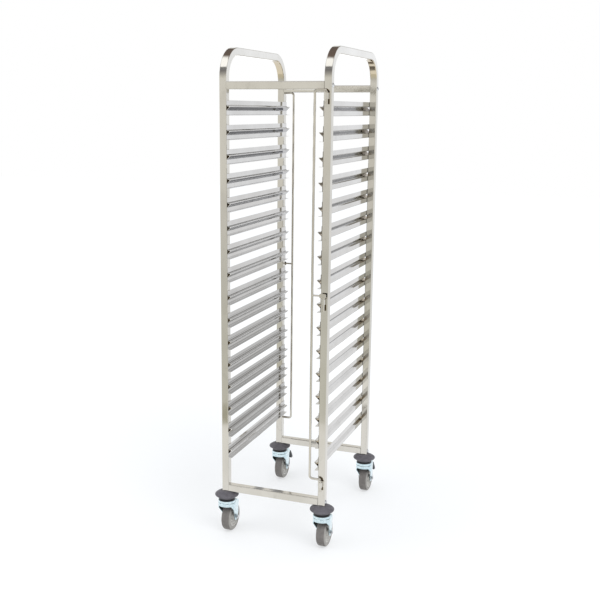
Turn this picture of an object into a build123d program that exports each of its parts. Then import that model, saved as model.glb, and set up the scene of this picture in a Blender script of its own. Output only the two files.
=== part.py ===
from build123d import *
import math
import os

os.makedirs("parts", exist_ok=True)

# Tray rack trolley for 1/1 gastronorm trays, in millimetres.
# +Z is up, +X is to the right seen from the front, and +Y runs from front to rear.
# The origin is on the floor, in the middle of the box that holds the whole trolley.

# Frame
width = 380.0
depth = 550.0
height = 1674.0
foot_z = 161.0
tube = 25.0
tube_wall = 1.5
tube_corner = 2.5
handle_bend = 100.0
top_bar_z = 1551.5
foot_plate = 8.0

# Crossbar bolts and the threaded inserts that they pull on
bolt_r = 3.95
bolt_hole_r = 4.0
bolt_length = 45.0
bolt_head_r = 7.5
bolt_head_h = 4.4
bolt_socket = 5.0
bolt_socket_depth = 2.6
insert_length = 20.0

# Rails: the nose is measured to the sharp corner that its fold rounds off
levels = 16
pitch = 78.0
top_shelf_z = 1487.0
rail_sheet = 1.2
rail_flange_up = 18.0
rail_nose = 15.2
rail_rib = 15.0
rail_drop = 30.0
rail_lip = 12.5
shelf_bend = 5.0
nose_bend = 1.2
foot_bend = 1.5
lip_bend = 2.0

# Tray stops: a long rod on three hooked arms, turning in straps welded to a post
stop_rod_r = 4.0
stop_gap = 10.0
stop_reach = 38.5
stop_bend = 10.0
stop_top_z = 1538.0
stop_mid_z = 891.0
stop_low_z = 261.0
stop_leg = 44.0
stop_arm_r = 3.0
lug_left = 13.5
lug_right = 8.5
lug_height = 14.0
lug_thick = 4.0
strap_height = 18.0
strap_sheet = 1.5
strap_bore_r = 4.06

# Casters, measured from the swivel axis
bumper_r = 42.0
bumper_low_z = 134.0
seal_low_z = 127.3
head_top_z = 127.0
head_low_z = 108.0
head_r = 31.0
head_groove = 1.2
wheel_r = 50.0
wheel_width = 32.0
trail = 30.0
fork_gap = 40.0
fork_sheet = 2.5
fork_boss_r = 12.0
leg_flare_z = 57.0
leg_round_z = 96.0
kingpin_r = 8.0
stem_r = 5.95
hub_r = 36.0
hub_width = 37.0
sleeve_r = 7.0
running_gap = 0.06
axle_r = 4.0
axle_nut = 13.0
axle_nut_h = 6.5
axle_head = 5.3
axle_end = 8.0

# Brake on the two rear casters
brake_y = 45.0
brake_z = 104.0
brake_pin_r = 3.0
lever_width = 34.0
lever_sheet = 3.0
pedal_width = 36.0
pedal_reach = 103.0
pedal_tip_r = 5.0

# Places that follow from the driving dimensions
post_x = (width - tube) / 2
inner_x = width / 2 - tube
swivel_y = (depth - tube) / 2
front_reach = swivel_y + bumper_r
rear_reach = swivel_y + pedal_reach
frame_y = (front_reach - rear_reach) / 2
front_y = frame_y - depth / 2
rear_y = frame_y + depth / 2
front_post_y = front_y + tube / 2
rear_post_y = rear_y - tube / 2
low_bar_z = foot_z + tube / 2
inner_tube = tube - 2 * tube_wall
inner_corner = tube_corner - tube_wall


def save(piece, name):
    piece.label = name
    export_step(piece, f"parts/{name}.step")


def tube_section():
    RectangleRounded(tube, tube, tube_corner)
    RectangleRounded(inner_tube, inner_tube, inner_corner, mode=Mode.SUBTRACT)


# Side frames
# One square tube is bent into an inverted U: front post, handle, rear post.
# A threaded plate closes each foot and takes the stem of a caster.
def side_frame(side):
    x = side * post_x
    top = height - tube / 2
    with BuildPart() as frame:
        with BuildLine(Plane.YZ.offset(x)):
            FilletPolyline(
                (front_post_y, foot_z),
                (front_post_y, top),
                (rear_post_y, top),
                (rear_post_y, foot_z),
                radius=handle_bend - tube / 2,
            )
        with BuildSketch(Plane(origin=(x, front_post_y, foot_z), x_dir=(1, 0, 0), z_dir=(0, 0, 1))):
            tube_section()
        sweep()
        with BuildSketch(Plane.XY.offset(foot_z)):
            with Locations((x, front_post_y), (x, rear_post_y)):
                RectangleRounded(inner_tube, inner_tube, inner_corner)
                Circle(stem_r + 0.05, mode=Mode.SUBTRACT)
        extrude(amount=foot_plate)
        with BuildSketch(Plane.YZ.offset(x - tube / 2)):
            with Locations(*[(y, z) for y in (front_post_y, rear_post_y) for z in (low_bar_z, top_bar_z)]):
                Circle(bolt_hole_r + 0.2)
        extrude(amount=tube, mode=Mode.SUBTRACT)
    return frame


left_side_frame = side_frame(-1)
save(left_side_frame.part, "left_side_frame")
right_side_frame = side_frame(1)
save(right_side_frame.part, "right_side_frame")


# Crossbars
# Four square tubes between the posts tie the two side frames together.
def crossbar(y, z):
    with BuildPart() as bar:
        with BuildSketch(Plane.YZ.offset(-inner_x)):
            with Locations((y, z)):
                tube_section()
        extrude(amount=2 * inner_x)
    return bar


crossbars = {
    "front_top_crossbar": (front_post_y, top_bar_z),
    "rear_top_crossbar": (rear_post_y, top_bar_z),
    "front_bottom_crossbar": (front_post_y, low_bar_z),
    "rear_bottom_crossbar": (rear_post_y, low_bar_z),
}
for name, (y, z) in crossbars.items():
    save(crossbar(y, z).part, name)

# Threaded inserts, two in each crossbar
bar_ends = list(crossbars.values())
with BuildPart() as crossbar_inserts:
    for start in (-inner_x, inner_x - insert_length):
        with BuildSketch(Plane.YZ.offset(start)):
            with Locations(*bar_ends):
                RectangleRounded(inner_tube, inner_tube, 1.5 * inner_corner)
                Circle(bolt_hole_r, mode=Mode.SUBTRACT)
        extrude(amount=insert_length)
save(crossbar_inserts.part, "crossbar_inserts")

# Crossbar bolts: a domed head with a hexagon socket, on the outer face of a post
dome_r = (bolt_head_r**2 + bolt_head_h**2) / (2 * bolt_head_h)
with BuildPart() as bolt:
    with BuildSketch(Plane.XZ):
        with BuildLine():
            Line((0, -bolt_length), (bolt_r, -bolt_length))
            Line((bolt_r, -bolt_length), (bolt_r, 0))
            Line((bolt_r, 0), (bolt_head_r, 0))
            RadiusArc((bolt_head_r, 0), (0, bolt_head_h), -dome_r)
            Line((0, bolt_head_h), (0, -bolt_length))
        make_face()
    revolve(axis=Axis.Z)
    with BuildSketch(Plane.XY.offset(bolt_head_h)):
        RegularPolygon(bolt_socket / 2, 6, major_radius=False)
    extrude(amount=-bolt_socket_depth, mode=Mode.SUBTRACT)

with BuildPart() as crossbar_bolts:
    for side in (-1, 1):
        for y, z in bar_ends:
            place = Plane(origin=(side * width / 2, y, z), z_dir=(side, 0, 0))
            add(place.location * bolt.part)
save(crossbar_bolts.part, "crossbar_bolts")


# Rails
# Each rail is one folded sheet: a flange on the posts, a shelf, a rib that runs back to the
# posts, a lower flange and a stiffening lip. The rib is hollow and open to the outside.
# The line below runs in the middle of the sheet.
def rail(side, shelf_z):
    skin = rail_sheet / 2

    def at(inward, up):
        return (side * (inner_x - inward), shelf_z + up)

    with BuildPart() as piece:
        with BuildSketch(Plane.XZ.offset(-front_y)):
            with BuildLine():
                FilletPolyline(
                    at(skin, rail_flange_up),
                    at(skin, -skin),
                    at(rail_nose, -skin),
                    at(skin, skin - rail_rib),
                    at(skin, skin - rail_drop),
                    at(rail_lip, skin - rail_drop),
                    radius=[shelf_bend, nose_bend, foot_bend, lip_bend],
                )
            trace(line_width=rail_sheet)
        extrude(amount=-depth)
    return piece.part


for level in range(levels):
    shelf_z = top_shelf_z - level * pitch
    with BuildPart() as rail_pair:
        add(rail(-1, shelf_z))
        add(rail(1, shelf_z))
    save(rail_pair.part, f"rail_pair_{level + 1:02d}")


# Tray stops
# The rod stands across the tray openings. Its ends are bent over into arms, and each arm is
# bent down again into a leg that turns in a strap on the post. A third arm braces the middle.
# The same stop, turned by half a turn, serves the rear on the other post.
def tray_stop(side):
    pivot_x = side * post_x
    pivot_y = frame_y - side * (depth / 2 + stop_gap)
    rod_x = pivot_x - side * stop_reach
    plane = Plane(origin=(0, pivot_y, 0), x_dir=(1, 0, 0), z_dir=(0, -1, 0))
    with BuildPart() as stop:
        with BuildLine(plane):
            FilletPolyline(
                (pivot_x, stop_top_z - stop_leg),
                (pivot_x, stop_top_z),
                (rod_x, stop_top_z),
                (rod_x, stop_low_z),
                (pivot_x, stop_low_z),
                (pivot_x, stop_low_z - stop_leg),
                radius=stop_bend,
            )
        with BuildSketch(Plane(origin=(pivot_x, pivot_y, stop_top_z - stop_leg))):
            Circle(stop_rod_r)
        sweep()
        with BuildSketch(Plane.YZ.offset(rod_x)):
            with Locations((pivot_y, stop_mid_z)):
                Circle(stop_arm_r)
        extrude(amount=side * (stop_reach - lug_left + 2))
        with BuildSketch(plane):
            with Locations((pivot_x + side * (lug_right - lug_left) / 2, stop_mid_z)):
                RectangleRounded(lug_left + lug_right, lug_height, 3)
        extrude(amount=lug_thick / 2, both=True)
        with BuildSketch(Plane.XY.offset(stop_mid_z - stop_leg - lug_height / 2)):
            with Locations((pivot_x, pivot_y)):
                Circle(stop_rod_r)
        extrude(amount=stop_leg + 2)
    return stop


# Straps: each is a flat strip bent round the leg of a stop and welded to the face of the post
strap_tops = [
    stop_top_z - stop_bend,
    stop_mid_z - lug_height / 2 - 3,
    stop_low_z - stop_bend,
]


def stop_straps(side):
    pivot_x = side * post_x
    face_y = frame_y - side * depth / 2
    pivot_y = face_y - side * stop_gap
    middle_y = (face_y + pivot_y) / 2
    base_y = face_y - side * strap_sheet / 2
    outer_r = strap_bore_r + strap_sheet
    with BuildPart() as straps:
        for top_z in strap_tops:
            with BuildSketch(Plane.XY.offset(top_z - strap_height)):
                with Locations((pivot_x, pivot_y)):
                    Circle(outer_r)
                with Locations((pivot_x, middle_y)):
                    Rectangle(2 * outer_r, stop_gap)
                with Locations((pivot_x, base_y)):
                    Rectangle(tube - 1, strap_sheet)
                with Locations((pivot_x, pivot_y)):
                    Circle(strap_bore_r, mode=Mode.SUBTRACT)
                with Locations((pivot_x, middle_y)):
                    Rectangle(2 * strap_bore_r, stop_gap, mode=Mode.SUBTRACT)
            extrude(amount=strap_height)
    return straps


for name, side in (("front", 1), ("rear", -1)):
    save(tray_stop(side).part, f"{name}_tray_stop")
    save(stop_straps(side).part, f"{name}_stop_straps")

# Casters
# Each piece is made once, with the swivel axis on Z and the wheel trailing towards +Y.

# Bumper: a soft disc under the post, domed on top, with a smaller step below
with BuildPart() as bumper:
    with BuildSketch(Plane.XZ):
        with BuildLine():
            Polyline(
                (stem_r + 0.3, foot_z),
                (20, foot_z),
                (36, foot_z - 8.5),
                (bumper_r - 2, foot_z - 11.5),
            )
            ThreePointArc(
                (bumper_r - 2, foot_z - 11.5),
                (bumper_r, foot_z - 15),
                (bumper_r - 2.5, foot_z - 18.5),
            )
            Polyline(
                (bumper_r - 2.5, foot_z - 18.5),
                (32.5, foot_z - 20.5),
                (31, foot_z - 22),
                (29.5, bumper_low_z + 1),
                (28.5, bumper_low_z),
                (stem_r + 0.3, bumper_low_z),
                (stem_r + 0.3, foot_z),
            )
        make_face()
    revolve(axis=Axis.Z)

# Stem: threaded into the post's foot, and carrying the swivel head on its flange
with BuildPart() as stem:
    with BuildSketch(Plane.XZ):
        with BuildLine():
            Polyline(
                (0, head_low_z - 5.8),
                (11, head_low_z - 5.8),
                (11, head_low_z - 0.2),
                (kingpin_r, head_low_z - 0.2),
                (kingpin_r, seal_low_z + 2),
                (14, seal_low_z + 2),
                (14, bumper_low_z),
                (stem_r, bumper_low_z),
                (stem_r, foot_z + foot_plate - 1),
                (stem_r - 1, foot_z + foot_plate),
                (0, foot_z + foot_plate),
                close=True,
            )
        make_face()
    revolve(axis=Axis.Z)

# Seal: a black ring that covers the balls between the stem's flange and the head
with BuildPart() as swivel_seal:
    with BuildSketch(Plane.XZ):
        with BuildLine():
            Polyline(
                (14, bumper_low_z),
                (26.5, bumper_low_z),
                (28.5, bumper_low_z - 2),
                (28.5, seal_low_z),
                (kingpin_r + 0.3, seal_low_z),
                (kingpin_r + 0.3, seal_low_z + 2),
                (14, seal_low_z + 2),
                close=True,
            )
        make_face()
    revolve(axis=Axis.Z)


# Fork: pressed from sheet, with a round head, shoulders that draw in and legs swept back.
# The outside and the inside of the pressing are each an outline from the front, cut to a
# plan that is round at the head and narrows to the legs behind.
brake_end = brake_y + 6
arm_top_z = head_low_z + 10
leg_low_z = wheel_r - fork_boss_r
leg_outer = fork_gap / 2 + fork_sheet


def fork_pressing(half_outline, corner):
    leg_x = half_outline[0][0]
    round_r, top_z = half_outline[-1]
    other_half = [(-x, z) for x, z in reversed(half_outline)]
    with BuildPart() as pressing:
        with BuildSketch(Plane.XZ):
            with BuildLine():
                FilletPolyline(*half_outline, *other_half, radius=corner)
                Line((-leg_x, leg_low_z), (leg_x, leg_low_z))
            make_face()
        extrude(amount=2 * brake_end, both=True)
        with BuildSketch(Plane.XY.offset(leg_low_z)):
            Circle(round_r)
            with Locations((0, brake_end + 1)):
                Rectangle(2 * leg_x, 2)
            make_hull()
        extrude(amount=top_z - leg_low_z, mode=Mode.INTERSECT)
    return pressing


fork_outside = fork_pressing(
    [
        (leg_outer, leg_low_z),
        (leg_outer, leg_flare_z),
        (head_r, leg_round_z),
        (head_r, head_top_z),
    ],
    4,
)
fork_inside = fork_pressing(
    [
        (fork_gap / 2, leg_low_z),
        (fork_gap / 2, leg_flare_z + 1),
        (head_r - fork_sheet, leg_round_z + 1),
        (head_r - fork_sheet, head_low_z),
    ],
    3,
)
with BuildPart() as caster_fork:
    add(fork_outside.part)
    add(fork_inside.part, mode=Mode.SUBTRACT)
    with BuildSketch(Plane.YZ):
        with BuildLine():
            FilletPolyline(
                (-head_r - 5, head_top_z + 5),
                (-head_r - 5, head_low_z - 1),
                (-20, head_low_z - 2),
                (4, 76),
                (14.5, 61),
                (trail - fork_boss_r, wheel_r - 2),
                (trail - fork_boss_r, wheel_r - 4),
                (trail + fork_boss_r, wheel_r - 4),
                (trail + fork_boss_r, 54),
                (46, 66),
                (47, 88),
                (brake_end, brake_z - 5),
                (brake_end, brake_z + 3),
                (brake_y + 1, brake_z + 8),
                (head_r + 2, arm_top_z - 1),
                (head_r + 2, head_top_z + 5),
                radius=1.5,
                close=True,
            )
        make_face()
        with Locations((trail, wheel_r)):
            leg_end = (4 * fork_boss_r, 2 * fork_boss_r)
            Rectangle(*leg_end, align=(Align.CENTER, Align.MAX), mode=Mode.SUBTRACT)
            Circle(fork_boss_r)
    extrude(amount=head_r + 1, both=True, mode=Mode.INTERSECT)
    with BuildSketch(Plane.XY.offset(arm_top_z)):
        Circle(2 * head_r)
        Circle(head_r, mode=Mode.SUBTRACT)
    extrude(amount=head_top_z - arm_top_z, mode=Mode.SUBTRACT)
    with BuildSketch(Plane.XZ):
        with Locations((head_r, (head_top_z + head_low_z) / 2)):
            Rectangle(head_groove * math.sqrt(2), head_groove * math.sqrt(2), rotation=45)
    revolve(axis=Axis.Z, mode=Mode.SUBTRACT)
    with BuildSketch(Plane.XY.offset(head_low_z)):
        with Locations((0, 24)):
            Rectangle(fork_gap, 2 * head_r, align=(Align.CENTER, Align.MIN))
        Circle(head_r, mode=Mode.SUBTRACT)
        Circle(kingpin_r + running_gap)
    extrude(amount=head_top_z - head_low_z, mode=Mode.SUBTRACT)
    with BuildSketch(Plane.YZ.offset(-head_r)):
        with Locations((trail, wheel_r)):
            Circle(axle_r + 0.1)
    extrude(amount=2 * head_r, mode=Mode.SUBTRACT)

# The rear forks also carry the pin of the brake, riveted through both legs
pin_length = 2 * leg_outer + 3
with BuildPart() as braked_fork:
    add(caster_fork.part)
    with BuildSketch(Plane.YZ.offset(-pin_length / 2)):
        with Locations((brake_y, brake_z)):
            Circle(brake_pin_r)
    extrude(amount=pin_length)

# Tyre: grey rubber with a rounded tread
with BuildPart() as tyre:
    with BuildSketch(Plane.XY):
        with BuildLine():
            Polyline(
                (-wheel_width / 2, wheel_r - 6),
                (-wheel_width / 2, hub_r + 1),
                (1 - wheel_width / 2, hub_r),
                (wheel_width / 2 - 1, hub_r),
                (wheel_width / 2, hub_r + 1),
                (wheel_width / 2, wheel_r - 6),
            )
            ThreePointArc(
                (wheel_width / 2, wheel_r - 6),
                (wheel_width / 2 - 2, wheel_r - 2),
                (wheel_width / 2 - 6, wheel_r),
            )
            Line((wheel_width / 2 - 6, wheel_r), (6 - wheel_width / 2, wheel_r))
            ThreePointArc(
                (6 - wheel_width / 2, wheel_r),
                (2 - wheel_width / 2, wheel_r - 2),
                (-wheel_width / 2, wheel_r - 6),
            )
        make_face()
    revolve(axis=Axis.X)

# Hub: rim, dished web with six holes, and a boss that runs on the axle's sleeve
with BuildPart() as hub:
    with BuildSketch(Plane.XY):
        with BuildLine():
            Polyline(
                (-hub_width / 2, sleeve_r + running_gap),
                (-hub_width / 2, 12),
                (1.5 - hub_width / 2, 13),
                (-9, 14.5),
                (-9, 28),
                (-12, 31),
                (1 - wheel_width / 2, 32),
                (1 - wheel_width / 2, hub_r),
                (wheel_width / 2 - 1, hub_r),
                (wheel_width / 2 - 1, 32),
                (12, 31),
                (9, 28),
                (9, 14.5),
                (hub_width / 2 - 1.5, 13),
                (hub_width / 2, 12),
                (hub_width / 2, sleeve_r + running_gap),
                close=True,
            )
        make_face()
    revolve(axis=Axis.X)
    with BuildSketch(Plane.YZ.offset(-wheel_width / 2)):
        with PolarLocations(21.5, 6):
            Circle(3)
    extrude(amount=wheel_width, mode=Mode.SUBTRACT)

# Axle: bolt, sleeve between the legs, nut
with BuildPart() as axle:
    with BuildSketch(Plane.YZ.offset(-fork_gap / 2)):
        Circle(sleeve_r)
    extrude(amount=fork_gap)
    with BuildSketch(Plane.YZ.offset(-leg_outer)):
        Circle(axle_r)
    extrude(amount=2 * leg_outer + axle_end)
    with BuildSketch(Plane.YZ.offset(-leg_outer - axle_head)):
        RegularPolygon(axle_nut / 2, 6, major_radius=False)
    extrude(amount=axle_head)
    with BuildSketch(Plane.YZ.offset(leg_outer)):
        RegularPolygon(axle_nut / 2, 6, major_radius=False)
    extrude(amount=axle_nut_h)

# Brake lever: a bent plate over the wheel, two cheeks on the pin and a shoe above the tread
lever_line = [(brake_y + 1, brake_z + 10), (62, 113.5), (74, 101), (96, 72)]
cheek_sheet = 2.5
with BuildPart() as brake_lever:
    with BuildSketch(Plane.YZ):
        with BuildLine():
            Polyline(*lever_line)
        trace(line_width=lever_sheet)
    extrude(amount=lever_width / 2 - cheek_sheet, both=True)
    for side in (-1, 1):
        with BuildSketch(Plane.YZ.offset(side * (lever_width / 2 - cheek_sheet))) as cheek:
            with BuildLine():
                Polyline(
                    (brake_y - 5, brake_z),
                    (brake_y - 1, brake_z + 11),
                    (62, 115),
                    (75, 100.5),
                    (70, 95),
                    (60, 96),
                    (brake_y + 2, brake_z - 5),
                    close=True,
                )
            make_face()
            fillet(cheek.vertices(), 2)
            with Locations((brake_y, brake_z)):
                Circle(brake_pin_r + cheek_sheet)
        extrude(amount=side * cheek_sheet)
    with BuildSketch(Plane.YZ):
        with BuildLine():
            Polyline(
                (50.5, 113.5),
                (62, 113),
                (68, 106),
                (66, 96),
                (62.5, 92.2),
                (53.5, 98.9),
                close=True,
            )
        make_face()
    extrude(amount=9, both=True)
    with BuildSketch(Plane.YZ.offset(-lever_width)):
        with Locations((brake_y, brake_z)):
            Circle(brake_pin_r + running_gap)
    extrude(amount=2 * lever_width, mode=Mode.SUBTRACT)

# Pedal: a dark cap pushed over the end of the lever
with BuildPart() as brake_pedal:
    with BuildSketch(Plane.YZ) as pedal_side:
        with BuildLine():
            Polyline((80, 100), (75, 90), (88, 64), (95, 62.6), (102.3, 70), close=True)
        make_face()
        fillet(pedal_side.vertices(), 1.5)
        with Locations((pedal_reach - pedal_tip_r, 67)):
            Circle(pedal_tip_r)
    extrude(amount=pedal_width / 2, both=True)
    with BuildSketch(Plane.YZ):
        with BuildLine():
            Polyline(*lever_line)
        trace(line_width=lever_sheet)
    extrude(amount=lever_width / 2 - cheek_sheet, both=True, mode=Mode.SUBTRACT)

for across, side in (("left", -1), ("right", 1)):
    for along, y in (("front", front_post_y), ("rear", rear_post_y)):
        corner = f"{along}_{across}"
        swivel = Location((side * post_x, y, 0))
        wheel = swivel * Location((0, trail, wheel_r))
        save(swivel * bumper.part, f"{corner}_bumper")
        save(swivel * stem.part, f"{corner}_stem")
        save(swivel * swivel_seal.part, f"{corner}_swivel_seal")
        save(wheel * tyre.part, f"{corner}_tyre")
        save(wheel * hub.part, f"{corner}_hub")
        save(wheel * axle.part, f"{corner}_axle")
        if along == "front":
            save(swivel * caster_fork.part, f"{corner}_fork")
        else:
            save(swivel * braked_fork.part, f"{corner}_fork")
            save(swivel * brake_lever.part, f"{corner}_brake_lever")
            save(swivel * brake_pedal.part, f"{corner}_brake_pedal")
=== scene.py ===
import math
import bpy
import bmesh
from mathutils import Matrix, Vector


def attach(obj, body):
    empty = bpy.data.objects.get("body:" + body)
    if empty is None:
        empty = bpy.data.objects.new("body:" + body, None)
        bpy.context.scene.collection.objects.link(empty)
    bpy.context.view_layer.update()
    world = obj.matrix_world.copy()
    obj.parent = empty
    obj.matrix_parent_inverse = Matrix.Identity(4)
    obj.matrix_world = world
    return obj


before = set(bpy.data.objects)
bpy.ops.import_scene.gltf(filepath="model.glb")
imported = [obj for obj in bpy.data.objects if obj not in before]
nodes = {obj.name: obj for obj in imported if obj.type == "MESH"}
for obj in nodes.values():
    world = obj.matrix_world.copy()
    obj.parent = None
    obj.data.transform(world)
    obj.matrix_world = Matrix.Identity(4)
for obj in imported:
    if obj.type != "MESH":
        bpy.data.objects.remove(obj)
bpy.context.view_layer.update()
scene = bpy.context.scene
scene.view_settings.view_transform = "Standard"

# Sizes in metres, and the number of levels, that the pieces below share with the solids
POST_X = 0.1775
INNER_X = 0.165
FRAME_Y = -0.0305
HALF_DEPTH = 0.275
TUBE = 0.025
FRONT_Y = FRAME_Y - HALF_DEPTH
REAR_Y = FRAME_Y + HALF_DEPTH
POST_Y = (FRONT_Y + TUBE / 2, REAR_Y - TUBE / 2)
LEVELS = 16
TOP_SHELF_Z = 1.487
PITCH = 0.078
RAIL_UP = 0.018
RAIL_DROP = 0.030
WHEEL_R = 0.050
TRAIL = 0.030
FORK_HEAD_Z = 0.108
TYRE_HALF = 0.016
STRAP_TOPS = (1.528, 0.881, 0.251)
STRAP_HEIGHT = 0.018
STOP_GAP = 0.010
STOP_MID_Z = 0.891
STOP_ARM_R = 0.003
LUG_REACH = 0.0135
CORNERS = {
    "front_left": (-POST_X, POST_Y[0]),
    "front_right": (POST_X, POST_Y[0]),
    "rear_left": (-POST_X, POST_Y[1]),
    "rear_right": (POST_X, POST_Y[1]),
}

# Camera: the photograph's viewpoint, fitted to the edges of the trolley. The sensor is in mm.
IMAGE_SIZE = 600
SENSOR = 36
FOCAL_PIXELS = 932.70
OPTICAL_CENTRE = (285.565, 318.44)
CAMERA_AT = (1.09554, -3.08906 + FRAME_Y, 1.4768)
CAMERA_YAW = math.radians(20.488)
CAMERA_PITCH = math.radians(-12.619)
CAMERA_ROLL = math.radians(0.426)
CAMERA_REACH = 60

# Marks and painted shade on the steel. Heights and reaches are in metres, and the shares of a level are
# counted down from each shelf. Two numbers are the ends of a mark's soft edge. Four say where it starts,
# is full, stays full to, and ends.
FOLD_SHADE = (0.004, 0.020, 0.165, 0.200)
SHADED_LEVELS = (-0.01, 0.0, LEVELS - 0.6, LEVELS - 0.5)
CORNER_SHADE = (0.965, 0.975, 0.990, 0.996)
BEND_HEIGHTS = (1.575, 1.600)
BEND_REACH = (0.17, 0.20)
SHADED_HEIGHTS = (0.53, 1.10)
LOWEST_RAIL_HEIGHTS = (0.34, 0.36)
LOWEST_RAIL_SHADE = 0.3
TINT_REACH = (HALF_DEPTH - 0.11, HALF_DEPTH - 0.06)
STOP_LEG_X = (POST_X - 0.010, POST_X - 0.006)
FORK_SHADE_BOTTOM = (0.06, 0.07)
FORK_SHADE_TOP = (FORK_HEAD_Z, FORK_HEAD_Z + 0.003)
STAIN_TONE = 0.86
SIDE_WALL_SHARE = 0.85

# The same soft edges by how far a face looks along an axis, from -1 to 1
INNER_FACE = (-0.95, -0.80)
SHADED_FACE = (-0.95, -0.75)
BEND_UNDERSIDE = (-0.25, -0.03)
RAIL_UNDERSIDE = (-0.6, -0.4)
HOLLOW_SIDE = (0.3, 0.5)
LEG_BACK = (-0.5, -0.2)
FACING_WHEEL = (0.5, 0.8)
FORK_ROOF = (-0.9, -0.6)
TYRE_SIDE = (0.55, 0.85)

# Floor, in metres, with its whites as strengths
FLOOR_HALF = 14.0
FLOOR_PALE = (0.90, 0.90, 0.90, 1)
FLOOR_WHITE = (0.975, 0.992, 1, 1)
FLOOR_EMISSION_SHARE = 0.45
FLOOR_GLOW = 0.5
FLOOR_NEAR, FLOOR_FAR = 0.5, 2.2
FLOOR_NEAR_WHITE, FLOOR_FAR_WHITE = 1.16, 1.34
FLOOR_SLANT = 0.295
FLOOR_RAMP_HALF = 10.0
FLOOR_SPOT = (-0.73, -1.51, 0)
FLOOR_SPOT_RADII = (0.06, 0.20)
FLOOR_SPOT_TONE = (0.50, 0.48, 0.37)

# Tones that the metal mirrors in the floor, from front to back
MIRRORED_FLOOR = [
    (0.00, (0.86, 0.84, 0.79)),
    (0.23, (0.73, 0.72, 0.66)),
    (0.40, (0.78, 0.77, 0.69)),
    (0.417, (0.80, 0.785, 0.71)),
    (0.4235, (1.06, 1.045, 1.00)),
    (0.52, (1.05, 1.055, 1.07)),
    (0.66, (0.95, 0.95, 0.955)),
    (0.78, (0.97, 0.97, 0.98)),
    (0.86, (1.00, 1.00, 1.01)),
]

# Tones that the metal mirrors in the room, from the horizon up
ROOM_TOP = (0.22, 0.165, 0.14)
ROOM_FRONT = [
    (0.0, (0.92, 0.90, 0.84)),
    (0.03, (0.96, 0.94, 0.88)),
    (0.16, (0.88, 0.86, 0.79)),
    (0.24, (0.56, 0.54, 0.51)),
    (0.46, (0.27, 0.26, 0.26)),
    (0.54, (0.33, 0.33, 0.34)),
    (0.60, (0.22, 0.21, 0.21)),
    (0.66, (1.60, 1.60, 1.60)),
    (0.90, (1.60, 1.60, 1.60)),
    (0.94, ROOM_TOP),
]
ROOM_BACK_LEFT = [
    (0.0, (1.42, 1.43, 1.44)),
    (0.035, (1.40, 1.41, 1.42)),
    (0.065, (1.11, 1.12, 1.14)),
    (0.16, (0.84, 0.84, 0.84)),
    (0.30, (0.84, 0.825, 0.79)),
    (0.41, (0.98, 0.96, 0.91)),
    (0.47, (0.28, 0.27, 0.26)),
    (0.56, (0.17, 0.14, 0.125)),
    (1.0, ROOM_TOP),
]
ROOM_BACK_MIDDLE = [
    (0.0, (1.12, 1.13, 1.15)),
    (0.10, (1.05, 1.05, 1.07)),
    (0.18, (0.42, 0.42, 0.45)),
    (0.36, (0.34, 0.34, 0.37)),
    (0.56, (0.15, 0.13, 0.12)),
    (1.0, ROOM_TOP),
]
ROOM_BACK_RIGHT = [
    (0.0, (1.05, 1.06, 1.08)),
    (0.015, (1.05, 1.06, 1.08)),
    (0.06, (1.26, 1.29, 1.36)),
    (0.12, (0.98, 0.98, 0.99)),
    (0.27, (0.90, 0.90, 0.91)),
    (0.31, (1.06, 1.07, 1.09)),
    (0.37, (1.14, 1.15, 1.17)),
    (0.44, (0.60, 0.59, 0.57)),
    (0.56, (0.22, 0.17, 0.145)),
    (1.0, ROOM_TOP),
]
ROOM_LIGHT = (0.86, 0.88, 0.915)

# Where one side of the room gives way to the next, by direction
TO_MIDDLE_X = (-0.20, -0.10)
TO_RIGHT_X = (-0.01, 0.05)
TO_BACK_Y = (-0.12, 0.12)


def add_camera():
    yaw, pitch, roll = CAMERA_YAW, CAMERA_PITCH, CAMERA_ROLL
    flat = math.cos(pitch)
    forward = Vector((-math.sin(yaw) * flat, math.cos(yaw) * flat, math.sin(pitch)))
    level = Vector((math.cos(yaw), math.sin(yaw), 0))
    upright = level.cross(forward)
    right = level * math.cos(roll) + upright * math.sin(roll)
    up = upright * math.cos(roll) - level * math.sin(roll)
    data = bpy.data.cameras.new("camera")
    data.sensor_width = SENSOR
    data.lens = FOCAL_PIXELS / IMAGE_SIZE * SENSOR
    data.shift_x = (IMAGE_SIZE / 2 - OPTICAL_CENTRE[0]) / IMAGE_SIZE
    data.shift_y = (OPTICAL_CENTRE[1] - IMAGE_SIZE / 2) / IMAGE_SIZE
    data.clip_end = CAMERA_REACH
    camera = bpy.data.objects.new("camera", data)
    scene.collection.objects.link(camera)
    turn = Matrix((right, up, -forward)).transposed()
    camera.matrix_world = Matrix.Translation(CAMERA_AT) @ turn.to_4x4()
    scene.camera = camera


add_camera()


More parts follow.
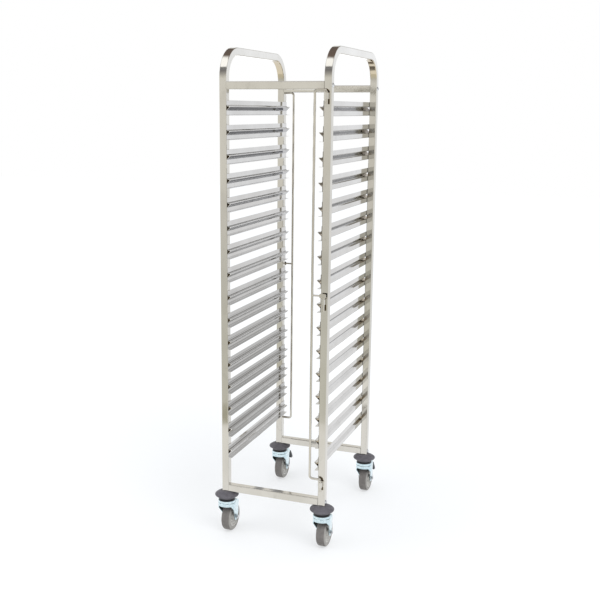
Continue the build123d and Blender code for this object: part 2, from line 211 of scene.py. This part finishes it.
# Node helpers for one tree, of a material or of the world
class Nodes:
    def __init__(self, tree):
        self.tree = tree

    def node(self, kind, **settings):
        made = self.tree.nodes.new(kind)
        for key, value in settings.items():
            setattr(made, key, value)
        return made

    def link(self, source, target):
        self.tree.links.new(source, target)

    def place(self, scale=(1, 1, 1)):
        coords = self.node("ShaderNodeTexCoord")
        mapping = self.node("ShaderNodeMapping")
        mapping.inputs["Scale"].default_value = scale
        self.link(coords.outputs["Object"], mapping.inputs["Vector"])
        return mapping.outputs["Vector"]

    def noise(self, scale, detail, roughness):
        made = self.node("ShaderNodeTexNoise")
        made.inputs["Scale"].default_value = 1.0
        made.inputs["Detail"].default_value = detail
        made.inputs["Roughness"].default_value = roughness
        self.link(self.place(scale), made.inputs["Vector"])
        return made.outputs["Fac"]

    def remap(self, value, low, high, to_low, to_high, curve="SMOOTHSTEP"):
        made = self.node("ShaderNodeMapRange")
        made.interpolation_type = curve
        for key, number in zip(("From Min", "From Max", "To Min", "To Max"), (low, high, to_low, to_high)):
            made.inputs[key].default_value = number
        self.link(value, made.inputs["Value"])
        return made.outputs["Result"]

    def rise(self, value, start, end):
        return self.remap(value, start, end, 0.0, 1.0)

    def fall(self, value, start, end):
        return self.remap(value, start, end, 1.0, 0.0)

    def window(self, value, start, full, full_to, end):
        return self.both(self.rise(value, start, full), self.fall(value, full_to, end))

    def ramp(self, value, stops):
        made = self.node("ShaderNodeValToRGB")
        made.color_ramp.interpolation = "LINEAR"
        points = made.color_ramp.elements
        while len(points) < len(stops):
            points.new(0.5)
        for point, (place, colour) in zip(points, stops):
            point.position = place
            point.color = (*colour, 1)
        self.link(value, made.inputs[0])
        return made.outputs[0]

    def mix(self, factor, a, b):
        made = self.node("ShaderNodeMix", data_type="RGBA")
        for socket, value in ((made.inputs[6], a), (made.inputs[7], b)):
            if isinstance(value, tuple):
                socket.default_value = (*value, 1)
            else:
                self.link(value, socket)
        self.link(factor, made.inputs[0])
        return made.outputs[2]

    def blend(self, factor, a, b):
        made = self.node("ShaderNodeMixShader")
        if isinstance(factor, float):
            made.inputs[0].default_value = factor
        else:
            self.link(factor, made.inputs[0])
        self.link(a, made.inputs[1])
        self.link(b, made.inputs[2])
        return made.outputs[0]

    def calc(self, operation, *values):
        made = self.node("ShaderNodeMath", operation=operation)
        for socket, value in zip(made.inputs, values):
            if isinstance(value, (int, float)):
                socket.default_value = value
            else:
                self.link(value, socket)
        return made.outputs[0]

    def both(self, a, b):
        return self.calc("MULTIPLY", a, b)

    def size(self, value):
        return self.calc("ABSOLUTE", value)

    def part_of(self, output, axis):
        coords = self.node("ShaderNodeTexCoord")
        split = self.node("ShaderNodeSeparateXYZ")
        self.link(coords.outputs[output], split.inputs[0])
        return split.outputs[axis]

    def position(self, axis):
        return self.part_of("Object", axis)

    def facing(self, axis):
        return self.part_of("Normal", axis)

    # 1 where a face looks away from the middle of the trolley, -1 where it looks to it
    def outward(self):
        return self.both(self.calc("SIGN", self.position("X")), self.facing("X"))

    # How far a point lies before or behind the middle of the frame
    def along(self):
        return self.size(self.calc("SUBTRACT", self.position("Y"), FRAME_Y))

    # How many levels a point lies below the top shelf
    def levels_down(self):
        return self.calc("DIVIDE", self.calc("SUBTRACT", TOP_SHELF_Z, self.position("Z")), PITCH)


# One material with its Principled shader
class Shader(Nodes):
    def __init__(self, name, **inputs):
        self.material = bpy.data.materials.new(name)
        self.material.use_nodes = True
        super().__init__(self.material.node_tree)
        self.bsdf = self.tree.nodes["Principled BSDF"]
        for key, value in inputs.items():
            self.bsdf.inputs[key.replace("_", " ")].default_value = value

    def bump(self, height, distance, strength, normal=None):
        made = self.node("ShaderNodeBump")
        made.inputs["Distance"].default_value = distance
        made.inputs["Strength"].default_value = strength
        self.link(height, made.inputs["Height"])
        if normal:
            self.link(normal, made.inputs["Normal"])
        return made.outputs["Normal"]

    def set(self, key, socket):
        self.link(socket, self.bsdf.inputs[key])


# Polished stainless steel: fine grain along the tube, faint stains and slow waves
def steel(name, grain, light, dark, rough, wave=0.0024, marks=()):
    s = Shader(name, Metallic=1.0)
    lines = s.noise(grain, 4.0, 0.6)
    patches = s.noise((9, 9, 5), 3.0, 0.55)
    smudges = s.noise((38, 38, 24), 4.0, 0.6)
    darker = tuple(c * STAIN_TONE for c in dark)
    tone = s.mix(s.rise(patches, 0.32, 0.68), light, dark)
    tone = s.mix(s.remap(smudges, 0.58, 0.80, 0.0, 0.7), tone, darker)
    tone = s.mix(s.remap(lines, 0.25, 0.75, 0.0, 0.10), tone, darker)
    for mask, colour in marks:
        tone = s.mix(mask(s), tone, colour)
    s.set("Base Color", tone)
    s.set("Roughness", s.calc("MULTIPLY_ADD", lines, rough[1] - rough[0], rough[0]))
    s.set("Normal", s.bump(lines, 0.00004, 0.35, s.bump(patches, wave, 0.5)))
    return s.material


# Where the fold of each rail is closed by the post, the post's inner face is painted dark: painted shade
# inside the hollow fold
def painted_shade_in_folds(s):
    below = s.levels_down()
    fold = s.window(s.calc("FRACT", below), *FOLD_SHADE)
    inner_face = s.fall(s.outward(), *INNER_FACE)
    return s.both(s.both(fold, s.window(below, *SHADED_LEVELS)), inner_face)


# The undersides of the handle's bends are tinted golden brown
def golden_bend_undersides(s):
    in_bend = s.both(s.rise(s.position("Z"), *BEND_HEIGHTS), s.rise(s.along(), *BEND_REACH))
    return s.both(s.fall(s.facing("Z"), *BEND_UNDERSIDE), in_bend)


# The side of a stop's legs that is next to the post is painted dark: painted shade of the gap between leg and
# post
def painted_leg_shade(s):
    away = s.both(s.calc("SIGN", s.position("Y")), s.facing("Y"))
    near_post = s.rise(s.size(s.position("X")), *STOP_LEG_X)
    return s.both(s.fall(away, *LEG_BACK), near_post)


# The undersides of a rail are painted darker: painted shade on the faces that look down
def shaded_rail_undersides(s):
    return s.fall(s.facing("Z"), *RAIL_UNDERSIDE)


# The inward faces of the lower rails are painted darker, a painted shade in what they mirror, the lowest one
# least
def painted_shade_lower_rails(s):
    height = s.position("Z")
    lowest = s.remap(height, *LOWEST_RAIL_HEIGHTS, LOWEST_RAIL_SHADE, 1.0)
    low_shade = s.both(s.fall(height, *SHADED_HEIGHTS), lowest)
    return s.both(s.fall(s.outward(), *SHADED_FACE), low_shade)


# The corner where each rail's flange meets its shelf is painted dark: painted shade in the fold
def painted_corner_shade(s):
    return s.window(s.calc("FRACT", s.levels_down()), *CORNER_SHADE)


# The hollow side of the rib has a brown heat tint near the posts
def heat_tint(s):
    hollow = s.both(s.rise(s.outward(), *HOLLOW_SIDE), s.rise(s.facing("Z"), *HOLLOW_SIDE))
    return s.both(hollow, s.rise(s.along(), *TINT_REACH))


# The inside of the fork and the underside of its head are painted dark: painted shade
def painted_fork_shade(s):
    across = s.calc("SUBTRACT", s.size(s.position("X")), POST_X)
    to_wheel = s.both(s.both(s.calc("SIGN", across), s.outward()), -1.0)
    legs = s.both(s.rise(to_wheel, *FACING_WHEEL), s.fall(s.position("Z"), *FORK_SHADE_TOP))
    roof = s.both(s.fall(s.facing("Z"), *FORK_ROOF), s.rise(s.position("Z"), *FORK_SHADE_BOTTOM))
    return s.calc("MAXIMUM", legs, roof)


# The side walls of a tyre are paler than its tread
def side_walls(s):
    return s.remap(s.size(s.facing("X")), *TYRE_SIDE, 0.0, SIDE_WALL_SHARE)


# Bright zinc plate: bluish, with the cloudy spangle of barrel plating
def zinc():
    s = Shader("zinc_plated", Metallic=1.0)
    cloud = s.noise((160, 160, 160), 3.0, 0.6)
    fine = s.noise((1400, 1400, 1400), 2.0, 0.5)
    tone = s.mix(s.rise(cloud, 0.35, 0.65), (0.70, 0.83, 0.88), (0.55, 0.70, 0.77))
    # The inside of the fork is painted dark, as shade
    s.set("Base Color", s.mix(painted_fork_shade(s), tone, (0.055, 0.085, 0.095)))
    s.set("Roughness", s.remap(cloud, 0.3, 0.7, 0.15, 0.27))
    s.set("Normal", s.bump(fine, 0.00003, 0.4))
    return s.material


def plain_steel():
    s = Shader("fastener_steel", Metallic=1.0)
    cloud = s.noise((220, 220, 220), 3.0, 0.6)
    s.set("Base Color", s.mix(s.rise(cloud, 0.35, 0.65), (0.78, 0.80, 0.82), (0.60, 0.62, 0.64)))
    s.set("Roughness", s.remap(cloud, 0.3, 0.7, 0.2, 0.36))
    s.set("Normal", s.bump(cloud, 0.00004, 0.4))
    return s.material


# Rubber and plastics: two tones, worn spots, and a moulded grain
def moulded(name, light, dark, rough, grain_scale, grain_depth, dust=None, marks=()):
    s = Shader(name, Specular_IOR_Level=0.4)
    cloud = s.noise((70, 70, 70), 4.0, 0.6)
    grain = s.noise((grain_scale,) * 3, 2.0, 0.5)
    tone = s.mix(s.rise(cloud, 0.32, 0.68), light, dark)
    if dust:
        tone = s.mix(s.remap(grain, 0.55, 0.8, 0.0, 0.5), tone, dust)
    for mask, colour in marks:
        tone = s.mix(mask(s), tone, colour)
    s.set("Base Color", tone)
    s.set("Roughness", s.remap(cloud, 0.3, 0.7, *rough))
    s.set("Normal", s.bump(grain, grain_depth, 0.5))
    return s.material


materials = {
    "upright": steel(
        "frame_steel", (900, 900, 16), (0.645, 0.63, 0.59), (0.58, 0.563, 0.52), (0.06, 0.12),
        # The first mark is painted shade in the rails' folds at the posts
        marks=[(painted_shade_in_folds, (0.16, 0.13, 0.085)), (golden_bend_undersides, (0.62, 0.55, 0.42))]),
    "across": steel(
        "crossbar_steel", (16, 900, 900), (0.66, 0.645, 0.605), (0.60, 0.583, 0.54), (0.06, 0.12)),
    "rail": steel(
        "rail_steel", (1100, 14, 1100), (0.64, 0.635, 0.625), (0.58, 0.573, 0.56), (0.05, 0.10), 0.0008,
        # All but the brown heat tint are painted shade: lower rails' inward faces, undersides, flange corners
        marks=[(painted_shade_lower_rails, (0.44, 0.437, 0.425)), (shaded_rail_undersides, (0.38, 0.383, 0.395)),
               (heat_tint, (0.36, 0.30, 0.21)), (painted_corner_shade, (0.24, 0.23, 0.215))]),
    "rod": steel(
        "stop_steel", (700, 700, 30), (0.62, 0.60, 0.55), (0.52, 0.49, 0.43), (0.10, 0.18),
        # The mark is painted shade on the legs' side next to the post
        marks=[(painted_leg_shade, (0.17, 0.125, 0.065))]),
    "weld": steel(
        "weld_bead", (400, 400, 400), (0.72, 0.68, 0.60), (0.55, 0.49, 0.40), (0.24, 0.38)),
    "zinc": zinc(),
    "fastener": plain_steel(),
    "bumper": moulded(
        "bumper_rubber", (0.150, 0.142, 0.158), (0.115, 0.109, 0.121), (0.42, 0.6), 1200, 0.00008,
        dust=(0.20, 0.19, 0.205)),
    "seal": moulded(
        "seal_plastic", (0.014, 0.015, 0.017), (0.008, 0.009, 0.010), (0.3, 0.45), 900, 0.00004),
    "tyre": moulded(
        "tyre_rubber", (0.218, 0.203, 0.190), (0.178, 0.165, 0.155), (0.45, 0.62), 1000, 0.00008,
        dust=(0.26, 0.245, 0.23), marks=[(side_walls, (0.43, 0.415, 0.385))]),
    "hub": moulded(
        "hub_plastic", (0.62, 0.605, 0.565), (0.53, 0.515, 0.48), (0.34, 0.5), 1300, 0.00005),
    "pedal": moulded(
        "pedal_plastic", (0.050, 0.056, 0.062), (0.034, 0.038, 0.043), (0.4, 0.55), 1500, 0.0001),
}


SHARP_EDGE = math.radians(35)


# A solid gets its material, and where its edges are sharp in the solid, a small rounding, in metres
def dress(name, material, bevel=0.0):
    obj = nodes[name]
    obj.data.materials.clear()
    obj.data.materials.append(materials[material])
    if bevel:
        made = obj.modifiers.new("edge", "BEVEL")
        made.width = bevel
        made.segments = 2
        made.limit_method = "ANGLE"
        made.angle_limit = SHARP_EDGE


def dress_solids():
    for side in ("left", "right"):
        dress(f"{side}_side_frame", "upright")
    for end in ("front", "rear"):
        for level in ("top", "bottom"):
            dress(f"{end}_{level}_crossbar", "across")
        dress(f"{end}_tray_stop", "rod")
        dress(f"{end}_stop_straps", "upright", 0.0003)
    for number in range(1, LEVELS + 1):
        dress(f"rail_pair_{number:02d}", "rail", 0.0005)
    dress("crossbar_bolts", "fastener", 0.0003)
    dress("crossbar_inserts", "fastener")
    for corner in CORNERS:
        dress(f"{corner}_bumper", "bumper")
        dress(f"{corner}_stem", "fastener")
        dress(f"{corner}_swivel_seal", "seal")
        dress(f"{corner}_fork", "zinc", 0.0005)
        dress(f"{corner}_axle", "fastener", 0.0004)
        dress(f"{corner}_tyre", "tyre")
        dress(f"{corner}_hub", "hub", 0.0004)
    for corner in ("rear_left", "rear_right"):
        dress(f"{corner}_brake_lever", "zinc", 0.0004)
        dress(f"{corner}_brake_pedal", "pedal", 0.0008)


dress_solids()


# Floor: white to the camera, pale to the light, with the object's shadow, and what the metal
# mirrors from below
def floor_material():
    s = Shader("floor", Base_Color=FLOOR_PALE, Roughness=0.9, Specular_IOR_Level=0.0)
    path = s.node("ShaderNodeLightPath")
    white = s.node("ShaderNodeEmission")
    white.inputs["Color"].default_value = FLOOR_WHITE
    away = s.node("ShaderNodeVectorMath", operation="LENGTH")
    s.link(s.place(), away.inputs[0])
    seen_white = s.remap(
        away.outputs["Value"], FLOOR_NEAR, FLOOR_FAR, FLOOR_NEAR_WHITE, FLOOR_FAR_WHITE, "LINEAR")
    camera_share = s.calc("SUBTRACT", seen_white, FLOOR_GLOW)
    strength = s.calc("ADD", s.both(camera_share, path.outputs["Is Camera Ray"]), FLOOR_GLOW)
    s.link(strength, white.inputs["Strength"])
    seen = s.blend(FLOOR_EMISSION_SHARE, s.bsdf.outputs[0], white.outputs[0])

    slanted = s.calc("ADD", s.position("Y"), s.calc("MULTIPLY", s.position("X"), FLOOR_SLANT))
    backward = s.remap(slanted, -FLOOR_RAMP_HALF, FLOOR_RAMP_HALF, 0.0, 1.0, "LINEAR")
    tone = s.ramp(backward, MIRRORED_FLOOR)
    spot = s.node("ShaderNodeVectorMath", operation="DISTANCE")
    s.link(s.place(), spot.inputs[0])
    spot.inputs[1].default_value = FLOOR_SPOT
    tone = s.mix(s.fall(spot.outputs["Value"], *FLOOR_SPOT_RADII), tone, FLOOR_SPOT_TONE)
    mirrored = s.node("ShaderNodeEmission")
    s.link(tone, mirrored.inputs["Color"])
    surface = s.blend(path.outputs["Is Glossy Ray"], seen, mirrored.outputs[0])
    s.link(surface, s.tree.nodes["Material Output"].inputs["Surface"])
    return s.material


def add_floor():
    mesh = bpy.data.meshes.new("floor")
    build = bmesh.new()
    bmesh.ops.create_grid(build, x_segments=1, y_segments=1, size=FLOOR_HALF)
    build.to_mesh(mesh)
    build.free()
    mesh.materials.append(floor_material())
    floor = bpy.data.objects.new("floor", mesh)
    scene.collection.objects.link(floor)


add_floor()


# Studio: a white room, with the soft boxes and dark gaps that the bright metal mirrors
def add_world():
    world = bpy.data.worlds.new("studio")
    scene.world = world
    world.use_nodes = True
    s = Nodes(world.node_tree)
    rise, sideways, backward = (s.part_of("Generated", axis) for axis in ("Z", "X", "Y"))
    back = s.mix(s.rise(sideways, *TO_MIDDLE_X), s.ramp(rise, ROOM_BACK_LEFT), s.ramp(rise, ROOM_BACK_MIDDLE))
    back = s.mix(s.rise(sideways, *TO_RIGHT_X), back, s.ramp(rise, ROOM_BACK_RIGHT))
    mirrored = s.mix(s.rise(backward, *TO_BACK_Y), s.ramp(rise, ROOM_FRONT), back)
    path = s.node("ShaderNodeLightPath")
    room = s.mix(path.outputs["Is Glossy Ray"], ROOM_LIGHT, mirrored)
    seen = s.mix(path.outputs["Is Camera Ray"], room, (1.0, 1.0, 1.0))
    background = s.tree.nodes["Background"]
    s.link(seen, background.inputs["Color"])
    background.inputs["Strength"].default_value = 1.0


add_world()


def add_lamp(name, place, aim, size, power):
    data = bpy.data.lights.new(name, "AREA")
    data.shape = "DISK"
    data.size = size
    data.energy = power
    lamp = bpy.data.objects.new(name, data)
    scene.collection.objects.link(lamp)
    lamp.location = place
    lamp.rotation_euler = (Vector(aim) - Vector(place)).to_track_quat("-Z", "Y").to_euler()
    lamp.visible_glossy = False


add_lamp("key", (2.2, -2.0, 3.2), (0, 0, 0.6), size=2.4, power=42)
add_lamp("fill", (-2.6, -2.2, 2.4), (0, 0, 0.8), size=2.6, power=16)


# Shape of a bead: how blunt its ends are, how its ends swell, how deep the ripples of a straight
# and of a round one go, and its height as a share of its width
BEAD_END = 0.03
BEAD_SWELL = 0.35
BEAD_RIPPLE = 0.14
RING_RIPPLE = 0.16
BEAD_HEIGHT = 0.72


# The mesh of one piece, which rides on a body of the solids
class Piece:
    def __init__(self):
        self.verts = []
        self.faces = []

    # Skins rows of points round a line, from the row that starts at first
    def skin(self, first, rows, around, closed):
        for i in range(rows if closed else rows - 1):
            here, there = first + i * around, first + (i + 1) % rows * around
            for j in range(around):
                k = (j + 1) % around
                self.faces.append((here + j, here + k, there + k, there + j))

    # A weld bead: a row of overlapping ripples, tapered at both ends, half sunk in the joint
    def bead(self, start, end, lift, radius, ripples=7, around=8):
        start, end, lift = Vector(start), Vector(end), Vector(lift).normalized()
        run = end - start
        side = run.normalized().cross(lift)
        steps = ripples * 4
        first = len(self.verts)
        for i in range(steps + 1):
            t = i / steps
            swell = math.sin(math.pi * min(max(t, BEAD_END), 1 - BEAD_END)) ** BEAD_SWELL
            r = radius * swell * (1 - BEAD_RIPPLE + BEAD_RIPPLE * abs(math.sin(math.pi * t * ripples)))
            middle = start + run * t
            for j in range(around):
                a = 2 * math.pi * j / around
                across, above = r * math.cos(a), r * BEAD_HEIGHT * math.sin(a)
                self.verts.append(tuple(middle + side * across + lift * above))
        self.skin(first, steps + 1, around, closed=False)
        self.faces.append(tuple(first + j for j in reversed(range(around))))
        self.faces.append(tuple(first + steps * around + j for j in range(around)))

    # A closed bead round the X axis, such as a weld round a rod or a mould line on a tyre
    def ring(self, centre, radius, thick, ripples=0, steps=48, around=6):
        x, y, z = centre
        first = len(self.verts)
        for i in range(steps):
            t = 2 * math.pi * i / steps
            r = thick
            if ripples:
                r *= 1 - RING_RIPPLE + RING_RIPPLE * abs(math.sin(ripples * t / 2))
            for j in range(around):
                a = 2 * math.pi * j / around
                out = radius + r * math.cos(a)
                self.verts.append((x + r * math.sin(a), y + out * math.cos(t), z + out * math.sin(t)))
        self.skin(first, steps, around, closed=True)

    def make(self, name, material, body):
        mesh = bpy.data.meshes.new(name)
        mesh.from_pydata(self.verts, [], self.faces)
        mesh.validate()
        for polygon in mesh.polygons:
            polygon.use_smooth = True
        mesh.materials.append(materials[material])
        obj = bpy.data.objects.new(name, mesh)
        scene.collection.objects.link(obj)
        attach(obj, body)


# Weld beads between the rails and the posts, above and below each rail
def add_rail_welds():
    sunk, above_edge = 0.0006, 0.0014
    high_half, high_radius = 0.0075, 0.0011
    low_half, low_radius = 0.0060, 0.0013
    for name, side in (("left_rail_welds", -1), ("right_rail_welds", 1)):
        welds = Piece()
        x = side * (INNER_X - sunk)
        for level in range(LEVELS):
            shelf = TOP_SHELF_Z - level * PITCH
            high, low = shelf + RAIL_UP, shelf - RAIL_DROP + above_edge
            for y in POST_Y:
                front, rear = y - high_half, y + high_half
                welds.bead((x, front, high), (x, rear, high), (-side, 0, 1), high_radius)
                front, rear = y - low_half, y + low_half
                welds.bead((x, front, low), (x, rear, low), (-side, 0, -1), low_radius)
        welds.make(name, "weld", "frame")


# Weld beads above and below the straps of the stops, and round each stop's brace at its lug
def add_stop_welds():
    sunk, half, radius, ripples = 0.0004, 0.009, 0.0012, 9
    ring_thick, ring_ripples = 0.0009, 12
    for end, side, face_y in (("front", 1, FRONT_Y), ("rear", -1, REAR_Y)):
        x, y = side * POST_X, face_y - side * sunk
        welds = Piece()
        for top in STRAP_TOPS:
            for z, lift in ((top, 1), (top - STRAP_HEIGHT, -1)):
                welds.bead((x - half, y, z), (x + half, y, z), (0, -side, lift), radius, ripples)
        welds.make(f"{end}_strap_welds", "weld", "frame")

        weld = Piece()
        lug = (x - side * LUG_REACH, face_y - side * STOP_GAP, STOP_MID_Z)
        weld.ring(lug, STOP_ARM_R, ring_thick, ring_ripples)
        weld.make(f"{end}_stop_weld", "weld", f"{end}_stop")


# A mould line on each side wall of the tyres
def add_tyre_lines():
    line_radius, thick = 0.0415, 0.00035
    for corner, (x, y) in CORNERS.items():
        lines = Piece()
        for side in (-1, 1):
            lines.ring((x + side * TYRE_HALF, y + TRAIL, WHEEL_R), line_radius, thick, steps=64)
        lines.make(f"{corner}_tyre_lines", "tyre", f"{corner}_wheel")


# Grip ribs across the top of the pedals
def add_pedal_ribs():
    count, first, step, radius = 5, 0.16, 0.15, 0.0011
    half = Vector((0.0145, 0, 0))
    lift = Vector((0, 0.80, 0.60))
    for corner in ("rear_left", "rear_right"):
        x, y = CORNERS[corner]
        start, end = Vector((x, y + 0.080, 0.100)), Vector((x, y + 0.1023, 0.070))
        ribs = Piece()
        for number in range(count):
            middle = start.lerp(end, first + step * number)
            ribs.bead(middle - half, middle + half, lift, radius, ripples=1)
        ribs.make(f"{corner}_pedal_ribs", "pedal", f"{corner}_brake")


add_rail_welds()
add_stop_welds()
add_tyre_lines()
add_pedal_ribs()
